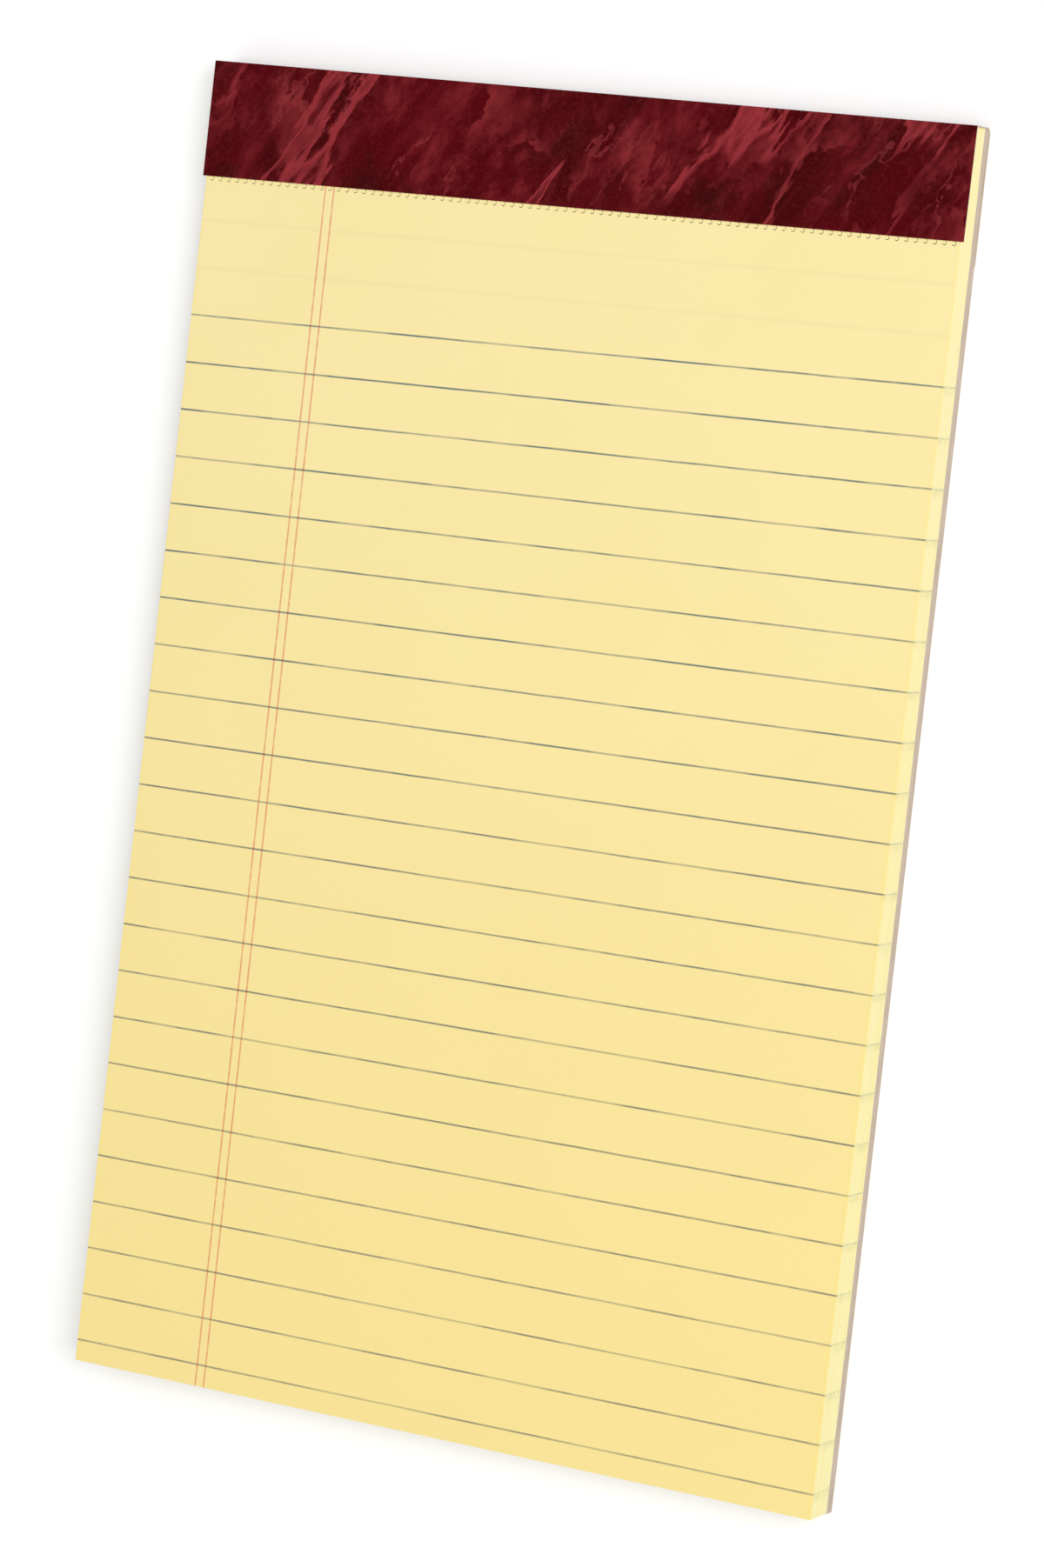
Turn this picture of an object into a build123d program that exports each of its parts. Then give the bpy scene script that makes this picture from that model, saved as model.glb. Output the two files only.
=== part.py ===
"""A small legal pad: ruled sheets on a chipboard back, wire-stitched and taped over at the head."""

import os

from build123d import *

os.makedirs("parts", exist_ok=True)

# Millimetres. The pad lies on its back: X runs across it, +Y towards the bound head and +Z out of
# the writing face. The origin is the middle of the box it fills, on the surface it lies on.

# The pad as sold, 5 in by 8 in over the tape
pad_width = 127.0
pad_length = 203.2

# Sheets, pressed thin at the bound head and lying looser towards the foot, so that the stack rises.
# They are cut at the foot on a slight slant, which makes the last sheet shorter than the first.
sheet_count = 50
sheet_thickness = 0.07
foot_rise = 2.6
foot_slant = 0.15

# Backing board, with its back corner at the head pressed round by the tape, which is rolled
# flush into its back
board_thickness = 1.8
board_head_radius = 1.0

# Binding tape, folded over the head a little askew: its front flap is longer on the left
tape_thickness = 0.15
tape_width = 42.0
tape_overhang = 0.3
front_flap_left = 17.7
front_flap_right = 16.7

# Perforation, a row of short slits through every sheet, just below the front flap
perforation_drop = 0.3
perforation_pitch = 1.5
slit_length = 1.0
slit_width = 0.2
perforation_skew = 0.45

# Wire stitches, each a flat wire through the head with its ends clinched into the board
stitch_crown = 12.0
stitch_inset = 32.0
stitch_drop = 7.0
wire_width = 0.8
wire_thickness = 0.45
wire_bend_radius = 0.8
clinch_length = 4.0
stitch_clearance = 0.05

# Levels and edges that the pieces share
foot_y = -pad_length / 2
head_y = pad_length / 2 - tape_thickness
tape_seat_z = tape_thickness
head_z = board_thickness + sheet_count * sheet_thickness
foot_z = head_z + foot_rise
mean_flap = (front_flap_left + front_flap_right) / 2
perforation_y = pad_length / 2 - mean_flap - perforation_drop
stitch_y = head_y - stitch_drop
stitch_x = pad_width / 2 - stitch_inset
strip_width = pad_width + 2 * tape_overhang
back_flap_left = tape_width - front_flap_left - (head_z + tape_thickness)
back_flap_right = tape_width - front_flap_right - (head_z + tape_thickness)


def face_level(y):
    """The height of the writing face, which rises evenly from the head to the foot."""
    return head_z + foot_rise * (head_y - y) / (head_y - foot_y)


def flap_corners(left, right, far_y):
    """The area between the slanting lower edge of a flap and a line across the pad at far_y."""
    return (
        (-strip_width / 2, pad_length / 2 - left),
        (strip_width / 2, pad_length / 2 - right),
        (strip_width / 2, far_y),
        (-strip_width / 2, far_y),
    )


# One stitch seen from the foot: up from its clinched ends, across the crown and down again.
# The crown lies flush with the first sheet and the ends flush with the board under the tape.
crown_z = face_level(stitch_y + wire_width / 2)
with BuildSketch() as stitch_outline:
    with BuildLine():
        FilletPolyline(
            (-stitch_crown / 2 + clinch_length, tape_seat_z),
            (-stitch_crown / 2, tape_seat_z),
            (-stitch_crown / 2, crown_z),
            (stitch_crown / 2, crown_z),
            (stitch_crown / 2, tape_seat_z),
            (stitch_crown / 2 - clinch_length, tape_seat_z),
            radius=wire_bend_radius,
        )
        offset(amount=wire_thickness, side=Side.RIGHT)
    make_face()

# The hole that a stitch makes, a little larger all round
with BuildSketch() as stitch_hole:
    add(stitch_outline.sketch)
    offset(amount=stitch_clearance)

# Backing board: grey-brown chipboard, cut square, with a shallow seat for the tape's back flap
with BuildPart() as backing_board:
    with BuildSketch(Plane.XY):
        with Locations((0, foot_y)):
            Rectangle(pad_width, head_y - foot_y, align=(Align.CENTER, Align.MIN))
    extrude(amount=board_thickness)
    with BuildSketch(Plane.XY):
        with BuildLine():
            Polyline(*flap_corners(back_flap_left, back_flap_right, pad_length / 2), close=True)
        make_face()
    extrude(amount=tape_seat_z, mode=Mode.SUBTRACT)
    head_edges = backing_board.edges().filter_by(Axis.X).group_by(Axis.Y)[-1]
    fillet(head_edges.sort_by(Axis.Z)[0], board_head_radius)
    with BuildSketch(Plane.XZ.offset(-stitch_y)):
        with Locations((-stitch_x, 0), (stitch_x, 0)):
            add(stitch_hole.sketch)
    extrude(amount=wire_width / 2 + stitch_clearance, both=True, mode=Mode.SUBTRACT)

# Page block: the sheets as one stack, with its rising face and its slanting foot cut to shape
with BuildPart() as page_block:
    slit_count = int((pad_width - slit_length) / perforation_pitch)
    with BuildSketch(Plane.XY.offset(board_thickness)):
        with Locations((0, foot_y)):
            Rectangle(pad_width, head_y - foot_y, align=(Align.CENTER, Align.MIN))
        with Locations(Location((0, perforation_y), perforation_skew)):
            with GridLocations(perforation_pitch, 0, slit_count, 1):
                Rectangle(slit_length, slit_width, mode=Mode.SUBTRACT)
    extrude(amount=foot_z - board_thickness)
    with BuildSketch(Plane.YZ.offset(-pad_width / 2)):
        with BuildLine():
            Polyline((foot_y, foot_z), (head_y, foot_z), (head_y, head_z), close=True)
        make_face()
        with BuildLine():
            Polyline(
                (foot_y, board_thickness),
                (foot_y, foot_z),
                (foot_y + foot_slant, board_thickness),
                close=True,
            )
        make_face()
    extrude(amount=pad_width, mode=Mode.SUBTRACT)
    with BuildSketch(Plane.XZ.offset(-stitch_y)):
        with Locations((-stitch_x, 0), (stitch_x, 0)):
            add(stitch_hole.sketch)
    extrude(amount=wire_width / 2 + stitch_clearance, both=True, mode=Mode.SUBTRACT)

# Binding strip: one length of marbled paper tape, over the front, the head and the back
with BuildPart() as binding_strip:
    front_reach = max(front_flap_left, front_flap_right)
    back_reach = max(back_flap_left, back_flap_right)
    with BuildSketch(Plane.YZ.offset(-strip_width / 2)):
        with BuildLine():
            front_end = pad_length / 2 - front_reach
            inner_front = Line((front_end, face_level(front_end)), (head_y, head_z))
            inner_head = Line(inner_front @ 1, (head_y, tape_seat_z + board_head_radius))
            inner_turn = RadiusArc(
                inner_head @ 1, (head_y - board_head_radius, tape_seat_z), board_head_radius
            )
            Line(inner_turn @ 1, (pad_length / 2 - back_reach, tape_seat_z))
            offset(amount=tape_thickness, side=Side.LEFT)
        make_face()
    extrude(amount=strip_width)
    for level, height, left, right in (
        (head_z, foot_rise, front_flap_left, front_flap_right),
        (0, tape_thickness, back_flap_left, back_flap_right),
    ):
        with BuildSketch(Plane.XY.offset(level)):
            with BuildLine():
                Polyline(*flap_corners(left, right, 0), close=True)
            make_face()
        extrude(amount=height, mode=Mode.SUBTRACT)

backing_board.part.label = "backing_board"
page_block.part.label = "page_block"
binding_strip.part.label = "binding_strip"
export_step(backing_board.part, "parts/backing_board.step")
export_step(page_block.part, "parts/page_block.step")
export_step(binding_strip.part, "parts/binding_strip.step")

# Wire stitches: one towards each side, hidden under the tape
for side_name, side_x in (("left", -stitch_x), ("right", stitch_x)):
    with BuildPart() as stitch:
        with BuildSketch(Plane.XZ.offset(-stitch_y)):
            with Locations((side_x, 0)):
                add(stitch_outline.sketch)
        extrude(amount=wire_width / 2, both=True)
    stitch.part.label = f"stitch_{side_name}"
    export_step(stitch.part, f"parts/stitch_{side_name}.step")
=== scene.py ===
import math
import random

import bmesh
import bpy
from mathutils import Matrix, Vector


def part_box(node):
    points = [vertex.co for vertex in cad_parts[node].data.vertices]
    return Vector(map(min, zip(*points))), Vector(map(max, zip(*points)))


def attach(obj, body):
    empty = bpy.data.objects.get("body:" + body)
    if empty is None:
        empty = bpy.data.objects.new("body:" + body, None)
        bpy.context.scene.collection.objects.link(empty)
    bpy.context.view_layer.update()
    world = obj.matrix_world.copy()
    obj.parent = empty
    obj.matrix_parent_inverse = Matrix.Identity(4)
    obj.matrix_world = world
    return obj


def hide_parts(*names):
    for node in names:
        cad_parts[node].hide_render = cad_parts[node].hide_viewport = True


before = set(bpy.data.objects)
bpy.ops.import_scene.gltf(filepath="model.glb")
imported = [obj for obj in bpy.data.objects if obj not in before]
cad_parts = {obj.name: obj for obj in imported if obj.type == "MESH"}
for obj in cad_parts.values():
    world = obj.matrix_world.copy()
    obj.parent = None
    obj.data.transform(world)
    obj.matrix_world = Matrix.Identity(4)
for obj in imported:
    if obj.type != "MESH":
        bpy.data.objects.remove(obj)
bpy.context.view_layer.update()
millimetre = 0.001


# Backing board.
# A stiff sheet of grey-brown chipboard, cut together with the sheets that lie on it. It is
# stitched to them at the head, and the tape is rolled flush into its back.
same_point = 0.002 * millimetre
same_plane = math.radians(0.5)
worn_edge = 0.12 * millimetre
edge_angle = 40


def colour(red, green, blue):
    """A finish's colour, each part from 0 to 255 as a paint chip is read, as a node takes it."""
    parts = [part / 255 for part in (red, green, blue)]
    return (*[p / 12.92 if p <= 0.04045 else ((p + 0.055) / 1.055) ** 2.4 for p in parts], 1.0)


def node(tree, kind, inputs=(), **settings):
    """A new node with its settings, whose inputs are given as values or as sockets to link."""
    made = tree.nodes.new(kind)
    for name, value in settings.items():
        setattr(made, name, value)
    for name, value in dict(inputs).items():
        if isinstance(value, bpy.types.NodeSocket):
            tree.links.new(value, made.inputs[name])
        else:
            made.inputs[name].default_value = value
    return made


def maths(tree, operation, *values):
    """The result of a Math node."""
    return node(tree, "ShaderNodeMath", enumerate(values), operation=operation).outputs[0]


def fade(tree, value, start, end, low=0.0, high=1.0):
    """Goes smoothly from low to high as the value goes from start to end."""
    limits = {"Value": value, "From Min": start, "From Max": end, "To Min": low, "To Max": high}
    made = node(tree, "ShaderNodeMapRange", limits, interpolation_type="SMOOTHSTEP")
    return made.outputs["Result"]


def fade_straight(tree, value, ends, results):
    """Goes evenly from one result to the other as the value goes from one end to the other."""
    limits = {
        "Value": value,
        "From Min": ends[0],
        "From Max": ends[1],
        "To Min": results[0],
        "To Max": results[1],
    }
    return node(tree, "ShaderNodeMapRange", limits).outputs["Result"]


def tint(tree, share, first, second, way="MIX"):
    """Two colours mixed, the second by its share."""
    mixed = node(tree, "ShaderNodeMix", data_type="RGBA", blend_type=way)
    for slot, value in ((0, share), (6, first), (7, second)):
        if isinstance(value, bpy.types.NodeSocket):
            tree.links.new(value, mixed.inputs[slot])
        else:
            mixed.inputs[slot].default_value = value
    return mixed.outputs[2]


def noise(tree, place, scale, detail=2.0, roughness=0.5, distortion=0.0):
    """Cloudy noise from 0 to 1, its scale in cycles a millimetre of the place it is given."""
    values = {
        "Vector": place,
        "Scale": scale,
        "Detail": detail,
        "Roughness": roughness,
        "Distortion": distortion,
    }
    return node(tree, "ShaderNodeTexNoise", values).outputs["Fac"]


def place_on(tree, stretch=(1, 1, 1), turn=0.0, centre=(0, 0, 0)):
    """Places on the piece in millimetres, turned in degrees about Z and then stretched."""
    read = node(tree, "ShaderNodeTexCoord").outputs["Object"]
    turned = node(tree, "ShaderNodeMapping", {"Vector": read, "Scale": [1 / millimetre] * 3})
    turned.inputs["Rotation"].default_value = (0, 0, math.radians(-turn))
    turned.inputs["Location"].default_value = [-part for part in centre]
    stretched = node(
        tree,
        "ShaderNodeMapping",
        {"Vector": turned.outputs[0], "Scale": [1 / part for part in stretch]},
    )
    return stretched.outputs[0]


def finish_material(base, height, depth, roughness, **fixed):
    """Ends a material: its colour and relief go to one shader, with its fixed values set on it.

    The relief's depth is in millimetres.
    """
    tree = base.id_data
    shader = tree.nodes["Principled BSDF"]
    tree.links.new(base, shader.inputs["Base Color"])
    heights = {"Height": height, "Distance": depth * millimetre, "Strength": 1.0}
    relief = node(tree, "ShaderNodeBump", heights)
    tree.links.new(relief.outputs["Normal"], shader.inputs["Normal"])
    if isinstance(roughness, bpy.types.NodeSocket):
        tree.links.new(roughness, shader.inputs["Roughness"])
    else:
        shader.inputs["Roughness"].default_value = roughness
    for socket, value in fixed.items():
        shader.inputs[socket.replace("_", " ")].default_value = value


def new_material(name):
    """A new material and its node tree."""
    material = bpy.data.materials.new(name)
    material.use_nodes = True
    return material, material.node_tree


def fibre_group():
    """Felted fibres lying three ways, for paper and board: a shade and a height from 0 to 1."""
    group = bpy.data.node_groups.new("felted_fibres", "ShaderNodeTree")
    for name, kind in (("Place", "NodeSocketVector"), ("Scale", "NodeSocketFloat")):
        group.interface.new_socket(name=name, in_out="INPUT", socket_type=kind)
    for name in ("Shade", "Height"):
        group.interface.new_socket(name=name, in_out="OUTPUT", socket_type="NodeSocketFloat")
    given = group.nodes.new("NodeGroupInput").outputs
    scaled = node(
        group,
        "ShaderNodeVectorMath",
        {0: given["Place"], "Scale": given["Scale"]},
        operation="SCALE",
    ).outputs[0]
    strands = []
    for angle in (25, 85, 150):
        turned = node(group, "ShaderNodeMapping", {"Vector": scaled, "Scale": (0.5, 3.2, 1.6)})
        turned.inputs["Rotation"].default_value = (0, 0, math.radians(angle))
        strands.append(noise(group, turned.outputs[0], 1.0, 3.0, 0.6, 0.4))
    felt = maths(group, "MAXIMUM", maths(group, "MAXIMUM", strands[0], strands[1]), strands[2])
    cloud = noise(group, scaled, 0.12, 4.0, 0.6)
    shade = maths(group, "MULTIPLY_ADD", cloud, 0.18, maths(group, "MULTIPLY", felt, 0.75))
    out = group.nodes.new("NodeGroupOutput")
    group.links.new(shade, out.inputs["Shade"])
    group.links.new(felt, out.inputs["Height"])
    return group


felted_fibres = fibre_group()


def fibres(tree, place, scale):
    """The felted fibres' shade and height on a material."""
    made = node(tree, "ShaderNodeGroup", node_tree=felted_fibres)
    tree.links.new(place, made.inputs["Place"])
    made.inputs["Scale"].default_value = scale
    return made.outputs["Shade"], made.outputs["Height"]


def side_on(tree):
    """How far a surface faces sideways: 0 on the front and the back, 1 on the cut edges."""
    facing = node(tree, "ShaderNodeTexCoord").outputs["Normal"]
    upright = node(tree, "ShaderNodeSeparateXYZ", {0: facing}).outputs["Z"]
    return fade(tree, maths(tree, "ABSOLUTE", upright), 0.8, 0.5)


def chipboard_material():
    """Grey-brown felted board with dark and pale scraps, its plies showing where it is cut."""
    material, tree = new_material("chipboard")
    place = place_on(tree)
    shade, height = fibres(tree, place, 1.6)
    base = tint(tree, fade(tree, shade, 0.42, 0.66), colour(178, 160, 141), colour(208, 191, 172))
    flecks = noise(tree, place_on(tree, (1.0, 0.35, 1.0), 20), 1.3, 2.0, 0.7)
    base = tint(tree, fade(tree, flecks, 0.62, 0.7, 0, 0.5), base, colour(124, 104, 86))
    scraps = noise(tree, place_on(tree, (0.4, 1.3, 1.0), -35), 0.9, 2.0, 0.7)
    base = tint(tree, fade(tree, scraps, 0.63, 0.72, 0, 0.5), base, colour(232, 222, 208))
    plies = noise(tree, place_on(tree, (7, 7, 0.22)), 1.0, 3.0, 0.6)
    ply_share = fade(tree, plies, 0.35, 0.65)
    layered = tint(tree, ply_share, colour(180, 163, 146), colour(201, 185, 169))
    base = tint(tree, side_on(tree), base, layered)
    finish_material(base, height, depth=0.06, roughness=0.88)
    return material


def merged_copy(node_name, name):
    """A copy of a CAD piece with its mesh merged and its flat faces whole again."""
    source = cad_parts[node_name]
    bpy.ops.object.select_all(action="DESELECT")
    piece = bpy.data.objects.new(name, source.data.copy())
    bpy.context.scene.collection.objects.link(piece)
    piece.data.materials.clear()
    bpy.context.view_layer.objects.active = piece
    piece.select_set(True)
    bpy.ops.mesh.customdata_custom_splitnormals_clear()
    bpy.ops.object.mode_set(mode="EDIT")
    bpy.ops.mesh.select_all(action="SELECT")
    bpy.ops.mesh.remove_doubles(threshold=same_point)
    bpy.ops.mesh.dissolve_limited(angle_limit=same_plane)
    bpy.ops.object.mode_set(mode="OBJECT")
    return piece


def apply_modifiers(piece):
    """Applies a piece's modifiers in their order."""
    bpy.context.view_layer.objects.active = piece
    for modifier in list(piece.modifiers):
        bpy.ops.object.modifier_apply(modifier=modifier.name)


def soften_edges(piece, width, segments, sharp_angle):
    """Rounds every edge sharper than an angle, as handling does."""
    bevel = piece.modifiers.new("soft_edges", "BEVEL")
    bevel.width = width
    bevel.segments = segments
    bevel.limit_method = "ANGLE"
    bevel.angle_limit = math.radians(sharp_angle)
    bevel.use_clamp_overlap = True
    apply_modifiers(piece)


def hand_over(piece, material, slot, *nodes):
    """Gives a finished piece its material and puts it in the CAD nodes' place. The slot is not
    used.
    """
    piece.data.materials.append(material)
    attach(piece, "root")
    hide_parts(*nodes)


board = merged_copy("backing_board", "chipboard_back")
soften_edges(board, width=worn_edge, segments=2, sharp_angle=edge_angle)
bpy.ops.object.shade_smooth_by_angle(angle=math.radians(edge_angle))
hand_over(board, chipboard_material(), "chipboard", "backing_board")


# Sheets.
# Yellow writing paper, pressed thin at the bound head and looser towards the foot, where air lies
# between the sheets. The stack is guillotined, so each edge lies a hair in or out of the next.
# A row of small slits near the head lets each sheet tear off; they are made in the first dozen.
sheet_count = 50
slit_sheets = 12
stack_low, stack_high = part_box("page_block")
stack_points = [vertex.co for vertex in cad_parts["page_block"].data.vertices]
head_z = max(p.z for p in stack_points if p.y > stack_high.y - 0.01 * millimetre)
mid_level = head_z / 2
foot_rise = stack_high.z - head_z
sheet_pitch = (head_z - stack_low.z) / sheet_count
sheet_thickness = 0.96 * sheet_pitch
sheet_steps = 25
foot_thickening = 0.55
head_inset = 0.18 * millimetre
foot_spread = 0.24 * millimetre
foot_slant = 0.15 * millimetre
edge_wander = 0.035 * millimetre
top_rounding = 0.12 * millimetre
rounded_sheets = 1.5
side_reach = 0.1 * millimetre
foot_reach = 0.5 * millimetre
slit_pitch = 1.5 * millimetre
slit_radius = 0.32 * millimetre
slit_width = 0.12 * millimetre
slit_drop = 0.3 * millimetre
slit_turn = 0.45
chance = random.Random(11)
full_turn = 6.28
tape_points = [vertex.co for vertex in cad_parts["binding_strip"].data.vertices]


def flap_edge(side, front):
    """Where a flap's lower edge ends on one side of the pad, -1 or 1, on its front or its back."""
    flap = [p for p in tape_points if p.x * side > 0 and (p.z > mid_level) == front]
    return min(point.y for point in flap)


def select_where(piece, kind, test):
    """In edit mode, selects only the vertices, edges or faces of a piece that pass a test."""
    bpy.ops.mesh.select_mode(type=kind)
    bpy.ops.mesh.select_all(action="DESELECT")
    mesh = bmesh.from_edit_mesh(piece.data)
    for part in {"VERT": mesh.verts, "EDGE": mesh.edges, "FACE": mesh.faces}[kind]:
        part.select_set(test(part))
    mesh.select_flush_mode()
    bmesh.update_edit_mesh(piece.data)


def edge_runs(edge, axis):
    """True if an edge runs along an axis, 0, 1 or 2."""
    along = edge.verts[1].co - edge.verts[0].co
    return abs(along[axis]) > 0.9 * along.length


def slab(name, low, high):
    """A plain block between two corners, its place in its mesh."""
    bpy.ops.object.select_all(action="DESELECT")
    bpy.ops.mesh.primitive_cube_add(size=1, location=(low + high) / 2)
    made = bpy.context.object
    made.name = name
    made.scale = high - low
    bpy.ops.object.transform_apply(location=True, rotation=True, scale=True)
    return made


def uncut_sheet(name):
    """A flat sheet that lies just under the level 0, with its length cut into steps."""
    low = Vector((stack_low.x, stack_low.y, -sheet_thickness))
    sheet = slab(name, low, Vector((stack_high.x, stack_high.y, 0)))
    bpy.ops.object.mode_set(mode="EDIT")
    select_where(sheet, "EDGE", lambda edge: edge_runs(edge, 1))
    bpy.ops.mesh.subdivide(number_cuts=sheet_steps - 1)
    bpy.ops.object.mode_set(mode="OBJECT")
    return sheet


def slit_punch():
    """A row of bent blades, each a small hook that opens towards the head."""
    bpy.ops.object.select_all(action="DESELECT")
    bpy.ops.mesh.primitive_circle_add(vertices=12, radius=slit_radius, fill_type="NOTHING")
    punch = bpy.context.object
    bpy.ops.object.mode_set(mode="EDIT")
    top = 0.9 * slit_radius
    gap = -0.2 * slit_radius
    select_where(punch, "VERT", lambda v: v.co.y > top or v.co.x < gap < v.co.y)
    bpy.ops.mesh.delete(type="VERT")
    bpy.ops.mesh.select_all(action="SELECT")
    reach = 4 * sheet_pitch
    bpy.ops.mesh.extrude_region_move(TRANSFORM_OT_translate={"value": (0, 0, reach)})
    bpy.ops.object.mode_set(mode="OBJECT")
    blade = punch.modifiers.new("blade", "SOLIDIFY")
    blade.thickness = slit_width
    blade.offset = 0
    count = int((stack_high.x - stack_low.x) / slit_pitch)
    row = punch.modifiers.new("row", "ARRAY")
    row.use_relative_offset = False
    row.use_constant_offset = True
    row.constant_offset_displace = (slit_pitch, 0, 0)
    row.count = count
    apply_modifiers(punch)
    bpy.ops.object.mode_set(mode="EDIT")
    bpy.ops.mesh.select_all(action="SELECT")
    bpy.ops.mesh.normals_make_consistent(inside=False)
    bpy.ops.object.mode_set(mode="OBJECT")
    middle = (flap_edge(-1, True) + flap_edge(1, True)) / 2 - slit_drop
    centred = Matrix.Translation((-(count - 1) / 2 * slit_pitch, 0, -reach / 2))
    turned = Matrix.Rotation(math.radians(slit_turn), 4, "Z")
    punch.data.transform(Matrix.Translation((0, middle, 0)) @ turned @ centred)
    return punch


def face_level(y):
    """The height of the writing face, which rises evenly from the head to the foot."""
    return head_z + foot_rise * (stack_high.y - y) / (stack_high.y - stack_low.y)


def lay_sheet(sheet, number):
    """Lays a flat sheet in the stack, counted down from the first, its cut edges a little off."""
    depth = number / sheet_count
    rounding = top_rounding * math.exp(-number / rounded_sheets)
    shift = {side: chance.uniform(0, 1) * edge_wander + rounding for side in (-1, 1)}
    waves = {side: [chance.uniform(0, full_turn) for _ in range(3)] for side in (-1, 1)}
    foot = foot_slant * depth + chance.uniform(0, 1) * edge_wander
    for vertex in sheet.data.vertices:
        side = 1 if vertex.co.x > 0 else -1
        if abs(vertex.co.x) > stack_high.x - side_reach:
            along = vertex.co.y / stack_high.y
            swing = [math.sin(3 * (k + 1) * along + waves[side][k]) / (k + 2) for k in range(3)]
            spread = (foot_spread * (1 - along) - head_inset * (1 + along)) / 2 * (1 - depth)
            vertex.co.x += side * (spread - shift[side] - 0.4 * edge_wander * sum(swing))
        level = stack_low.z + (1 - depth) * (face_level(vertex.co.y) - stack_low.z)
        loose = (face_level(vertex.co.y) - head_z) / foot_rise
        vertex.co.z = level + vertex.co.z * (1 + foot_thickening * loose)
        if vertex.co.y < stack_low.y + foot_reach:
            vertex.co.y += foot


def lower_copy(sheet, number):
    """A copy of a sheet laid in its own place, counted down from the first."""
    copied = sheet.copy()
    copied.data = sheet.data.copy()
    bpy.context.scene.collection.objects.link(copied)
    lay_sheet(copied, number)
    return copied


whole_sheet = uncut_sheet("whole_sheet")
first_sheet = uncut_sheet("first_sheet")
punch = slit_punch()
cut = first_sheet.modifiers.new("slits", "BOOLEAN")
cut.operation = "DIFFERENCE"
cut.solver = "EXACT"
cut.object = punch
apply_modifiers(first_sheet)
bpy.data.objects.remove(punch)
stack = [lower_copy(first_sheet, number) for number in range(1, slit_sheets)]
stack += [lower_copy(whole_sheet, number) for number in range(slit_sheets, sheet_count)]
lay_sheet(first_sheet, 0)
bpy.data.objects.remove(whole_sheet)
bpy.ops.object.select_all(action="DESELECT")
for sheet in stack:
    sheet.select_set(True)
bpy.context.view_layer.objects.active = stack[0]
bpy.ops.object.join()
stack[0].name = "sheet_stack"


# The sheets are uncoated yellow stock, printed with narrow blue-grey rules from edge to edge and
# a pair of pink margin rules. The ink of the rules tints the cut edges too. These sizes are in
# millimetres and degrees, as the material reads them; the rules fan out a little to the right.
print_turn = 0.45
print_fan = 0.000052
fan_centre = -17
rule_pitch = 7.333
rule_count = 23
first_rule = 63.25
rule_width = 0.26
margin_turn = 0.12
margin_gap = 1.5
margin_place = -41.83
margin_width = 0.26
line_softness = 0.07
sheet_half = stack_high.x / millimetre


def line_row_group():
    """A row of even lines across one coordinate: 1 on a line and 0 beside it."""
    group = bpy.data.node_groups.new("printed_lines", "ShaderNodeTree")
    for name in ("Across", "First", "Pitch", "Last Number", "Half Width", "Softness"):
        group.interface.new_socket(name=name, in_out="INPUT", socket_type="NodeSocketFloat")
    group.interface.new_socket(name="Ink", in_out="OUTPUT", socket_type="NodeSocketFloat")
    given = group.nodes.new("NodeGroupInput").outputs
    from_first = maths(group, "SUBTRACT", given["Across"], given["First"])
    steps = maths(group, "DIVIDE", from_first, given["Pitch"])
    nearest = maths(group, "ROUND", steps)
    nearest = maths(group, "MINIMUM", maths(group, "MAXIMUM", nearest, 0.0), given["Last Number"])
    away = maths(group, "ABSOLUTE", maths(group, "SUBTRACT", steps, nearest))
    away = maths(group, "MULTIPLY", away, maths(group, "ABSOLUTE", given["Pitch"]))
    inside = maths(group, "SUBTRACT", given["Half Width"], given["Softness"])
    outside = maths(group, "ADD", given["Half Width"], given["Softness"])
    out = group.nodes.new("NodeGroupOutput")
    group.links.new(fade(group, away, inside, outside, 1, 0), out.inputs["Ink"])
    return group


printed_lines = line_row_group()


def lines(tree, across, first, pitch, count, width, softness):
    """The ink of a row of lines, all in millimetres."""
    made = node(tree, "ShaderNodeGroup", node_tree=printed_lines)
    tree.links.new(across, made.inputs["Across"])
    values = (first, pitch, count - 1, width / 2, softness)
    for name, value in zip(("First", "Pitch", "Last Number", "Half Width", "Softness"), values):
        made.inputs[name].default_value = value
    return made.outputs["Ink"]


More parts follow.
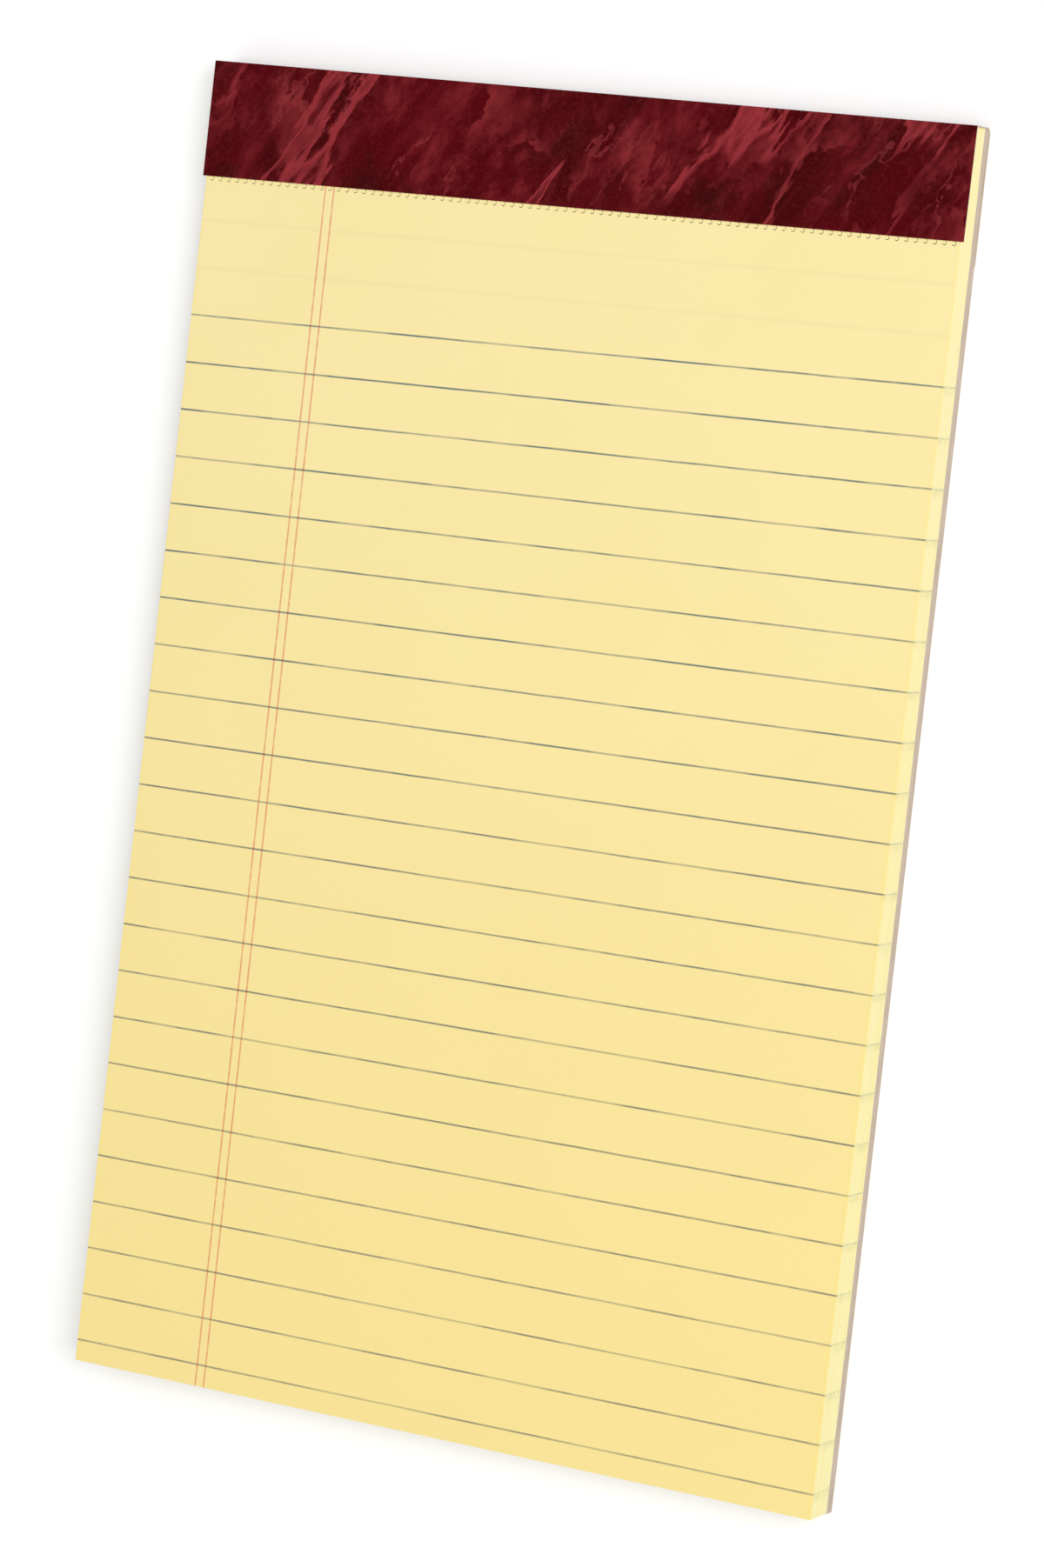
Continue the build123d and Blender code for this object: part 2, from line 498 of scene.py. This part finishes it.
def paper_material():
    """Yellow paper with its print on the faces and the ink's traces on the cut edges."""
    material, tree = new_material("ruled_paper")
    place = place_on(tree)
    width, length, level = node(tree, "ShaderNodeSeparateXYZ", {0: place}).outputs
    shade, height = fibres(tree, place, 2.2)

    # Painted shade: the face is written a deeper, darker yellow towards the foot, where less light
    # falls.
    stock_and_painted_shade = tint(tree, fade(tree, length, -100, 90), colour(252, 230, 152), colour(252, 235, 170))
    stock_and_painted_shade = tint(tree, fade(tree, shade, 0.3, 0.7, 0.0, 0.05), stock_and_painted_shade, colour(238, 214, 134))
    cloud = noise(tree, place, 0.03, 3.0)
    stock_and_painted_shade = tint(tree, fade(tree, cloud, 0.4, 0.65, 0.0, 0.12), stock_and_painted_shade, colour(246, 222, 146))
    # Painted shade: a deeper yellow band along both side edges of the face, where it rounds over.
    rim = maths(tree, "ABSOLUTE", width)
    edge_band_painted_shade = fade(tree, rim, sheet_half - 0.9, sheet_half + 0.2, 0, 0.5)
    stock_and_painted_shade = tint(tree, edge_band_painted_shade, stock_and_painted_shade, colour(254, 229, 132))

    down = node(tree, "ShaderNodeSeparateXYZ", {0: place_on(tree, turn=print_turn)}).outputs["Y"]
    fan = maths(tree, "MULTIPLY", width, maths(tree, "SUBTRACT", length, fan_centre))
    down = maths(tree, "SUBTRACT", down, maths(tree, "MULTIPLY", fan, print_fan))
    wobble = noise(tree, place_on(tree, (6, 1, 1)), 0.5, 3.0)
    shaky = maths(tree, "MULTIPLY_ADD", maths(tree, "SUBTRACT", wobble, 0.5), 0.12, down)
    rules = lines(tree, shaky, first_rule, -rule_pitch, rule_count, rule_width, line_softness)
    dry = noise(tree, place_on(tree, (9, 1, 1)), 0.8, 4.0, 0.65)
    rules = maths(tree, "MULTIPLY", rules, fade(tree, dry, 0.35, 0.62, 0.5, 0.95))
    ink = tint(tree, fade(tree, length, -95, 70), colour(134, 132, 108), colour(82, 107, 112))
    faced = tint(tree, rules, stock_and_painted_shade, ink)
    ghosts = lines(tree, down, first_rule + 2 * rule_pitch, -rule_pitch, 2, 0.6, 0.25)
    faced = tint(tree, maths(tree, "MULTIPLY", ghosts, 0.07), faced, colour(190, 180, 140))
    across = node(tree, "ShaderNodeSeparateXYZ", {0: place_on(tree, turn=margin_turn)}).outputs["X"]
    margins = lines(tree, across, margin_place, margin_gap, 2, margin_width, line_softness)
    margins = maths(tree, "MULTIPLY", margins, fade(tree, dry, 0.3, 0.6, 0.45, 0.75))
    faced = tint(tree, margins, faced, colour(228, 136, 146), "MULTIPLY")

    above_board = maths(tree, "SUBTRACT", level, stack_low.z / millimetre)
    head_y, foot_y = stack_high.y / millimetre, stack_low.y / millimetre
    stack_here = fade_straight(
        tree,
        length,
        (head_y, foot_y),
        ((head_z - stack_low.z) / millimetre, (stack_high.z - stack_low.z) / millimetre),
    )
    share_up = maths(tree, "DIVIDE", above_board, stack_here)
    number = maths(tree, "FLOOR", maths(tree, "MULTIPLY_ADD", share_up, sheet_count, -0.02))
    each = node(tree, "ShaderNodeTexWhiteNoise", {"W": number}, noise_dimensions="1D")
    # Painted bounce light: the cut edges are written a deeper yellow towards the foot, where light
    # bounces between the looser sheets.
    edge = tint(tree, fade(tree, length, -100, 90), colour(240, 235, 182), colour(240, 233, 188))
    differing = maths(tree, "MULTIPLY", each.outputs["Value"], 0.1)
    edge = tint(tree, differing, edge, colour(222, 204, 134))
    off_middle = maths(tree, "SUBTRACT", share_up, 0.5)
    dip = maths(tree, "MULTIPLY", maths(tree, "MULTIPLY", off_middle, off_middle), 1.1)
    bled = maths(tree, "SUBTRACT", down, dip)
    bled = lines(tree, bled, first_rule - 0.5, -rule_pitch, rule_count, 1.2, 0.5)
    patchy = fade(tree, noise(tree, place, 0.5, 3.0), 0.4, 0.6, 0.08, 0.2)
    edge = tint(tree, maths(tree, "MULTIPLY", bled, patchy), edge, colour(146, 158, 120))
    base = tint(tree, side_on(tree), faced, edge)
    finish_material(base, height, depth=0.012, roughness=0.82)
    return material


ruled_paper = paper_material()
hand_over(first_sheet, ruled_paper, "ruled_paper", "page_block")
hand_over(stack[0], ruled_paper, "ruled_paper", "page_block")


# Binding strip.
# Dark red paper tape printed with a marbled pattern and folded over the head, pasted down on the
# first sheet and on the board. Its cut edges show the pale core of the paper.
tape_low, tape_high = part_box("binding_strip")
tape_thickness = tape_high.y - stack_high.y
turn_radius = 1.0 * millimetre + tape_thickness
stitch_rise = 0.05 * millimetre
stitch_softness = 1.2 * millimetre
back_trim = 0.25 * millimetre
steps_across = 128
steps_along = 16


def press_on(tape):
    """Lays the front flap on the rising face and slightly up over the stitches' crowns.

    The back flap, which is pasted last and trimmed, ends nearer to the board's sides.
    """
    crowns = [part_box(name) for name in ("stitch_left", "stitch_right")]
    for vertex in tape.data.vertices:
        trim = back_trim * (1 - min(vertex.co.z / head_z, 1))
        vertex.co.x *= 1 - trim / tape_high.x
        if vertex.co.z < head_z:
            continue
        vertex.co.z += face_level(vertex.co.y) - head_z
        for low, high in crowns:
            out_x = max(low.x - vertex.co.x, vertex.co.x - high.x, 0)
            out_y = max(low.y - vertex.co.y, vertex.co.y - high.y, 0)
            away = min(math.hypot(out_x, out_y) / stitch_softness, 1)
            vertex.co.z += stitch_rise * (1 - away * away * (3 - 2 * away))


def marbled_material():
    """Dark red marbling: a mottled ground, rocky edges, leaning streaks and hair-fine cracks."""
    material, tree = new_material("marbled_tape")
    lean = 57
    warp = node(
        tree,
        "ShaderNodeTexNoise",
        {"Vector": place_on(tree), "Scale": 0.13, "Detail": 6.0, "Roughness": 0.6},
    ).outputs["Color"]
    pull = node(tree, "ShaderNodeVectorMath", {0: warp, 1: (0.5, 0.5, 0.5)}, operation="SUBTRACT")

    def flow(size, centre, pulled):
        """Places pulled about by the marbling, and stretched along its lean, in millimetres."""
        placed = place_on(tree, turn=lean, centre=centre)
        way = {0: pull.outputs[0], "Scale": pulled}
        shift = node(tree, "ShaderNodeVectorMath", way, operation="SCALE").outputs[0]
        both = {0: placed, 1: shift}
        moved = node(tree, "ShaderNodeVectorMath", both, operation="ADD").outputs[0]
        scale = [1 / part for part in size]
        return node(tree, "ShaderNodeMapping", {"Vector": moved, "Scale": scale}).outputs[0]

    def patches(size, centre, start, end, amount=1.0, detail=5.0, roughness=0.6):
        """Soft patches of a size, which show where their cloud goes from start to end."""
        field = noise(tree, flow(size, centre, 3.0), 0.5, detail, roughness)
        return fade(tree, field, start, end, 0, amount)

    def crack_edges(size, centre, level, width, amount, pulled=3.0):
        """Bright lines, sharp on one side and fading on the other, like the edges of a crack."""
        field = noise(tree, flow(size, centre, pulled), 0.5, 5.0, 0.55)
        above = maths(tree, "SUBTRACT", field, level)
        sharp = fade(tree, above, -0.006, 0.006)
        fading = fade(tree, above, 0.0, width, amount, 0)
        return maths(tree, "MULTIPLY", sharp, fading)

    clouded = patches((22, 11, 12), (9, 4, 0), 0.38, 0.62)
    pits = patches((9, 6, 5), (-8, 21, 6), 0.56, 0.68, amount=0.75, detail=4.0, roughness=0.5)
    calm = patches((14, 9, 9), (31, 7, 3), 0.4, 0.56, detail=3.0)
    mottle = patches((5, 3, 3), (0, 0, 0), 0.44, 0.72, amount=0.85, detail=9.0, roughness=0.74)
    haze = patches((26, 4, 4), (-17, 2, 5), 0.48, 0.7, amount=0.55, detail=8.0, roughness=0.7)
    rocks = crack_edges((15, 10, 8), (44, -3, 2), level=0.505, width=0.12, amount=0.7)
    near_rocks = patches((6, 4, 4), (3, 50, 1), 0.42, 0.66, detail=6.0)
    streaks = crack_edges((60, 8, 8), (12, 8, 0), level=0.54, width=0.035, amount=0.9, pulled=2.4)
    near_streaks = patches((18, 14, 9), (5, 90, 0), 0.46, 0.58, detail=3.0)
    cracks = crack_edges((30, 7, 6), (70, -9, 4), level=0.5, width=0.016, amount=0.6, pulled=4.0)
    near_cracks = patches((12, 12, 9), (31, 12, 0), 0.46, 0.6, detail=2.0)
    grain = fade(tree, noise(tree, place_on(tree), 1.6, 5.0, 0.75), 0.48, 0.75, 0, 0.3)
    base = tint(tree, clouded, colour(66, 0, 3), colour(82, 0, 8))
    for share, paint in (
        (pits, colour(54, 4, 2)),
        (maths(tree, "MULTIPLY", calm, mottle), colour(134, 38, 44)),
        (haze, colour(122, 26, 34)),
        (maths(tree, "MULTIPLY", rocks, near_rocks), colour(146, 46, 50)),
        (maths(tree, "MULTIPLY", streaks, near_streaks), colour(156, 52, 58)),
        (maths(tree, "MULTIPLY", cracks, near_cracks), colour(150, 54, 58)),
        (grain, colour(130, 44, 48)),
    ):
        base = tint(tree, share, base, paint)

    # Only the tape's outer face is printed: the inner face and the cut edges show its core
    facing = node(tree, "ShaderNodeTexCoord").outputs["Normal"]
    inside = (0, 80, mid_level / millimetre)
    outward = node(
        tree, "ShaderNodeVectorMath", {0: place_on(tree), 1: inside}, operation="SUBTRACT"
    ).outputs[0]
    upright = node(
        tree, "ShaderNodeVectorMath", {0: outward, 1: (0, 1, 1)}, operation="MULTIPLY"
    ).outputs[0]
    printed = node(
        tree, "ShaderNodeVectorMath", {0: upright, 1: facing}, operation="DOT_PRODUCT"
    ).outputs["Value"]
    shade, height = fibres(tree, place_on(tree), 3.0)
    core = tint(tree, fade(tree, shade, 0.35, 0.65), colour(184, 168, 146), colour(206, 190, 168))
    base = tint(tree, fade(tree, printed, 1.0, 0.2), base, core)
    rough = fade(tree, shade, 0.3, 0.7, 0.42, 0.54)
    finish_material(base, height, depth=0.004, roughness=rough, Specular_IOR_Level=0.05)
    return material


tape_top = head_z + tape_thickness
tape_middle = (tape_low.y + tape_high.y) / 2
tape = slab("marbled_strip", tape_low, Vector((tape_high.x, tape_high.y, tape_top)))
bpy.ops.object.mode_set(mode="EDIT")
select_where(tape, "FACE", lambda face: face.normal.y < -0.5 or abs(face.normal.x) > 0.5)
bpy.ops.mesh.delete(type="FACE")
for front in (True, False):
    for side in (-1, 1):
        select_where(
            tape,
            "VERT",
            lambda v: v.co.y < tape_middle and v.co.x * side > 0 and (v.co.z > mid_level) == front,
        )
        bpy.ops.transform.translate(value=(0, flap_edge(side, front) - tape_low.y, 0))
for front, radius, steps in ((True, tape_thickness, 3), (False, turn_radius, 8)):
    select_where(
        tape,
        "EDGE",
        lambda e: edge_runs(e, 0)
        and min(v.co.y for v in e.verts) > tape_middle
        and (e.verts[0].co.z > mid_level) == front,
    )
    bpy.ops.mesh.bevel(offset=radius, segments=steps, affect="EDGES")
select_where(tape, "EDGE", lambda edge: edge_runs(edge, 0))
bpy.ops.mesh.subdivide(number_cuts=steps_across - 1)
select_where(tape, "EDGE", lambda e: edge_runs(e, 1) and e.calc_length() > turn_radius)
bpy.ops.mesh.subdivide(number_cuts=steps_along - 1)
bpy.ops.object.mode_set(mode="OBJECT")
press_on(tape)
wall = tape.modifiers.new("thickness", "SOLIDIFY")
wall.thickness = tape_thickness
wall.offset = -1
wall.use_even_offset = True
apply_modifiers(tape)
bpy.ops.object.shade_smooth_by_angle(angle=math.radians(35))
hand_over(tape, marbled_material(), "marbled_tape", "binding_strip")


# Wire stitches.
# Flat galvanised wire, driven through the head and clinched into the board before the tape goes
# over them. They hold the stubs that stay behind when a sheet is torn off.
def wire_material():
    """Galvanised steel with fine marks along the wire's run, left by drawing."""
    material, tree = new_material("stitch_wire")
    drawn = noise(tree, place_on(tree, (6, 0.1, 6)), 1.5, 3.0)
    base = tint(tree, drawn, colour(168, 168, 166), colour(206, 206, 204))
    rough = fade(tree, drawn, 0.3, 0.7, 0.3, 0.45)
    finish_material(base, drawn, depth=0.002, roughness=rough, Metallic=1.0)
    return material


stitch_wire = wire_material()
for name in ("stitch_left", "stitch_right"):
    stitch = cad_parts[name]
    stitch.data.materials.clear()
    stitch.data.materials.append(stitch_wire)


# Studio.
# A wide pale floor under soft daylight, with one large lamp to the right of the pad, and a camera
# that looks down on the pad from its right.
floor_size = 6.0
floor_drop = 0.05 * millimetre
floor_glow = 0.2
sky_strength = 0.63
lamp_share = 0.39
lamp_size = 0.9
lamp_place = Vector((1.1, 0.25, 1.15))

# The power at which the lamp alone lights a white floor under the pad to its share of full white
lamp_power = lamp_share * math.pi**2 * lamp_place.length**3 / lamp_place.z

bpy.ops.object.select_all(action="DESELECT")
bpy.ops.mesh.primitive_plane_add(size=floor_size, location=(0, 0, -floor_drop))
floor = bpy.context.object
floor.name = "studio_floor"
floor_paint, floor_tree = new_material("studio_floor")
floor_shade = noise(floor_tree, place_on(floor_tree), 0.004, 2.0)
floor_base = tint(floor_tree, floor_shade, colour(243, 243, 243), colour(247, 247, 246))
floor_shader = floor_tree.nodes["Principled BSDF"]
floor_tree.links.new(floor_base, floor_shader.inputs["Base Color"])
floor_shader.inputs["Roughness"].default_value = 0.9
floor_shader.inputs["Specular IOR Level"].default_value = 0.0
seen = node(floor_tree, "ShaderNodeLightPath").outputs["Is Camera Ray"]
glow_strength = maths(floor_tree, "MULTIPLY", seen, floor_glow)
glow = node(floor_tree, "ShaderNodeEmission", {"Color": (1, 1, 1, 1), "Strength": glow_strength})
both = node(
    floor_tree, "ShaderNodeAddShader", {0: floor_shader.outputs[0], 1: glow.outputs[0]}
)
floor_tree.links.new(both.outputs[0], floor_tree.nodes["Material Output"].inputs["Surface"])
floor.data.materials.append(floor_paint)

world = bpy.data.worlds.new("studio_sky")
world.use_nodes = True
bpy.context.scene.world = world
sky = world.node_tree
path = node(sky, "ShaderNodeLightPath")
direct = maths(sky, "MAXIMUM", path.outputs["Is Camera Ray"], path.outputs["Is Transmission Ray"])
strength = fade(sky, direct, 0, 1, sky_strength, 1.0)
sky.links.new(strength, sky.nodes["Background"].inputs["Strength"])
sky.nodes["Background"].inputs["Color"].default_value = (1, 1, 1, 1)

lamp_data = bpy.data.lights.new("soft_lamp", "AREA")
lamp_data.shape = "SQUARE"
lamp_data.size = lamp_size
lamp_data.energy = lamp_power
lamp = bpy.data.objects.new("soft_lamp", lamp_data)
lamp.location = lamp_place
lamp.rotation_euler = lamp_place.to_track_quat("Z", "Y").to_euler()
bpy.context.scene.collection.objects.link(lamp)

camera_aim = Vector((0.0030, -0.0016, face_level(0)))
camera_azimuth = math.radians(100.557)
camera_elevation = math.radians(62.244)
camera_distance = 0.8018
camera_lean = math.radians(6.972)
camera_back = Vector(
    (
        math.sin(camera_azimuth) * math.cos(camera_elevation),
        -math.cos(camera_azimuth) * math.cos(camera_elevation),
        math.sin(camera_elevation),
    )
)
pad_up = Vector((-math.sin(camera_lean), math.cos(camera_lean), 0))
camera_right = pad_up.cross(camera_back).normalized()
camera_up = camera_back.cross(camera_right)
camera_data = bpy.data.cameras.new("camera")
camera_data.lens = 123.16
camera_data.sensor_width = 36
camera = bpy.data.objects.new("camera", camera_data)
camera.matrix_world = Matrix.Translation(camera_aim + camera_distance * camera_back) @ Matrix(
    (camera_right, camera_up, camera_back)
).transposed().to_4x4()
bpy.context.scene.collection.objects.link(camera)
bpy.context.scene.camera = camera
bpy.context.scene.view_settings.view_transform = "Standard"
